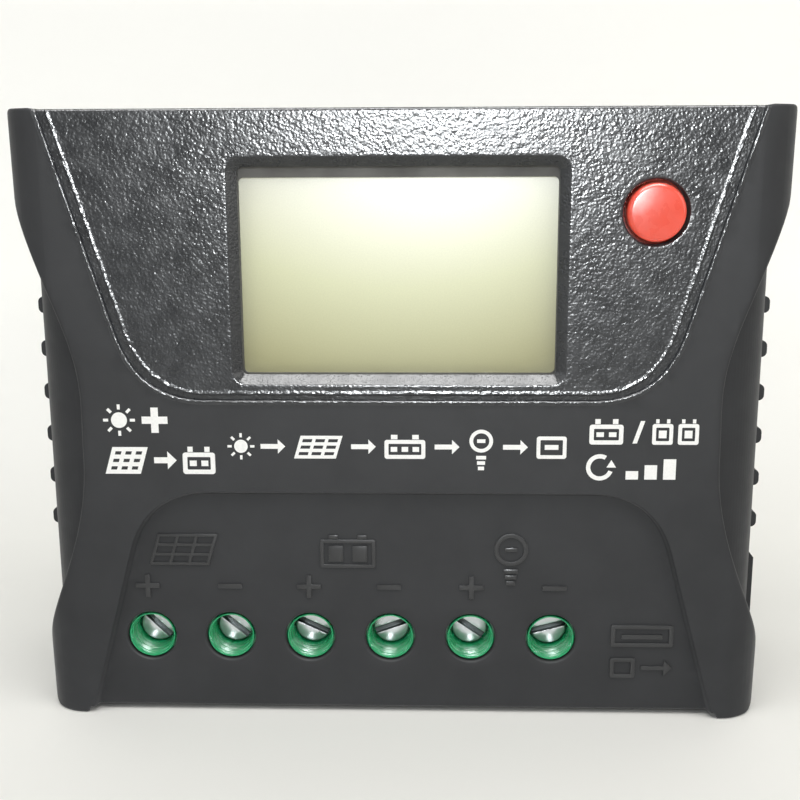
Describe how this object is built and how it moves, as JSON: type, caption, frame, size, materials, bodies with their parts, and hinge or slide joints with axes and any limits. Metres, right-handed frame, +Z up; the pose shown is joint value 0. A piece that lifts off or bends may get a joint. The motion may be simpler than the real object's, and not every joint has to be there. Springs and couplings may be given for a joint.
{
  "type": "solar charge controller",
  "caption": "Wall-mounted solar charge controller with a display window, a push button, screw terminals behind the front panel and a side charging port.",
  "frame": {"origin": "centre of the flat back face, in the plane of the wall", "axes": "+Z up, the front faces -Y, +X to the right as seen from the front"},
  "size_m": [0.124, 0.0412, 0.1007],
  "materials": {
    "case_plastic": "moulded charcoal plastic with a fine grain, coarse sparkling grain around the display",
    "heat_sink_metal": "plain milled aluminium plate",
    "plated_steel": "zinc-plated steel",
    "black_plastic": "black moulded plastic",
    "display_glass": "pale yellow-green liquid crystal glass, display off",
    "white_plastic": "white moulded plastic",
    "circuit_board": "green solder-resist glass-fibre board",
    "red_plastic": "glossy red moulded plastic",
    "capacitor_can": "sleeved aluminium can",
    "ferrite": "dark ferrite",
    "copper_alloy": "bright copper alloy",
    "green_plastic": "glossy green moulded plastic"
  },
  "bodies": {
    "case": {"front_cover": "case_plastic", "rear_case": "case_plastic", "heat_sink": "heat_sink_metal", "case_screw_1": "plated_steel", "case_screw_2": "plated_steel", "case_screw_3": "plated_steel", "case_screw_4": "plated_steel", "board_screw_1": "plated_steel", "board_screw_2": "plated_steel", "board_screw_3": "plated_steel", "board_screw_4": "plated_steel", "display_screw_1": "plated_steel", "display_screw_2": "plated_steel", "clamp_bar_screw_1": "plated_steel", "clamp_bar_screw_2": "plated_steel", "clamp_bar": "plated_steel", "port_shell": "plated_steel", "display_bezel": "black_plastic", "switch_body": "black_plastic", "microcontroller": "black_plastic", "power_transistor_1": "black_plastic", "power_transistor_2": "black_plastic", "power_transistor_3": "black_plastic", "power_transistor_4": "black_plastic", "display_glass": "display_glass", "display_backlight": "white_plastic", "port_tongue": "white_plastic", "display_socket": "white_plastic", "main_socket": "white_plastic", "link_cable": "white_plastic", "display_board": "circuit_board", "main_board": "circuit_board", "capacitor_1": "capacitor_can", "capacitor_2": "capacitor_can", "inductor_core": "ferrite", "inductor_coil": "copper_alloy", "contact_bar_1": "copper_alloy", "contact_bar_2": "copper_alloy", "contact_bar_3": "copper_alloy", "contact_bar_4": "copper_alloy", "contact_bar_5": "copper_alloy", "contact_bar_6": "copper_alloy", "terminal_block_1": "green_plastic", "terminal_block_2": "green_plastic", "terminal_block_3": "green_plastic"},
    "button": {"button_cap": "red_plastic", "switch_plunger": "black_plastic"},
    "screw_1": {"terminal_screw_1": "plated_steel"},
    "wire_clamp_1": {"clamp_1": "plated_steel"},
    "screw_2": {"terminal_screw_2": "plated_steel"},
    "wire_clamp_2": {"clamp_2": "plated_steel"},
    "screw_3": {"terminal_screw_3": "plated_steel"},
    "wire_clamp_3": {"clamp_3": "plated_steel"},
    "screw_4": {"terminal_screw_4": "plated_steel"},
    "wire_clamp_4": {"clamp_4": "plated_steel"},
    "screw_5": {"terminal_screw_5": "plated_steel"},
    "wire_clamp_5": {"clamp_5": "plated_steel"},
    "screw_6": {"terminal_screw_6": "plated_steel"},
    "wire_clamp_6": {"clamp_6": "plated_steel"}
  },
  "joints": [
    {"name": "button_press", "type": "slide", "parent": "case", "child": "button", "axis": [0, 1, 0], "range_m": [0, 0.0005], "stiffness_N_per_m": 100, "springref_m": -0.0005},
    {"name": "terminal_screw_1_turn", "type": "hinge", "parent": "case", "child": "screw_1", "pos_m": [-0.0422, -0.032, -0.03635], "axis": [0, 1, 0], "range_deg": [0, 1440]},
    {"name": "clamp_1_rise", "type": "slide", "parent": "case", "child": "wire_clamp_1", "axis": [0, -1, 0], "range_m": [0, 0.0028]},
    {"name": "terminal_screw_2_turn", "type": "hinge", "parent": "case", "child": "screw_2", "pos_m": [-0.02868, -0.032, -0.03635], "axis": [0, 1, 0], "range_deg": [0, 1440]},
    {"name": "clamp_2_rise", "type": "slide", "parent": "case", "child": "wire_clamp_2", "axis": [0, -1, 0], "range_m": [0, 0.0028]},
    {"name": "terminal_screw_3_turn", "type": "hinge", "parent": "case", "child": "screw_3", "pos_m": [-0.01516, -0.032, -0.03635], "axis": [0, 1, 0], "range_deg": [0, 1440]},
    {"name": "clamp_3_rise", "type": "slide", "parent": "case", "child": "wire_clamp_3", "axis": [0, -1, 0], "range_m": [0, 0.0028]},
    {"name": "terminal_screw_4_turn", "type": "hinge", "parent": "case", "child": "screw_4", "pos_m": [-0.00164, -0.032, -0.03635], "axis": [0, 1, 0], "range_deg": [0, 1440]},
    {"name": "clamp_4_rise", "type": "slide", "parent": "case", "child": "wire_clamp_4", "axis": [0, -1, 0], "range_m": [0, 0.0028]},
    {"name": "terminal_screw_5_turn", "type": "hinge", "parent": "case", "child": "screw_5", "pos_m": [0.01188, -0.032, -0.03635], "axis": [0, 1, 0], "range_deg": [0, 1440]},
    {"name": "clamp_5_rise", "type": "slide", "parent": "case", "child": "wire_clamp_5", "axis": [0, -1, 0], "range_m": [0, 0.0028]},
    {"name": "terminal_screw_6_turn", "type": "hinge", "parent": "case", "child": "screw_6", "pos_m": [0.0254, -0.032, -0.03635], "axis": [0, 1, 0], "range_deg": [0, 1440]},
    {"name": "clamp_6_rise", "type": "slide", "parent": "case", "child": "wire_clamp_6", "axis": [0, -1, 0], "range_m": [0, 0.0028]}
  ],
  "couplings": [
    {"joint": "terminal_screw_1_turn", "follows": "clamp_1_rise", "rad_per_m": 8976},
    {"joint": "terminal_screw_2_turn", "follows": "clamp_2_rise", "rad_per_m": 8976},
    {"joint": "terminal_screw_3_turn", "follows": "clamp_3_rise", "rad_per_m": 8976},
    {"joint": "terminal_screw_4_turn", "follows": "clamp_4_rise", "rad_per_m": 8976},
    {"joint": "terminal_screw_5_turn", "follows": "clamp_5_rise", "rad_per_m": 8976},
    {"joint": "terminal_screw_6_turn", "follows": "clamp_6_rise", "rad_per_m": 8976}
  ]
}
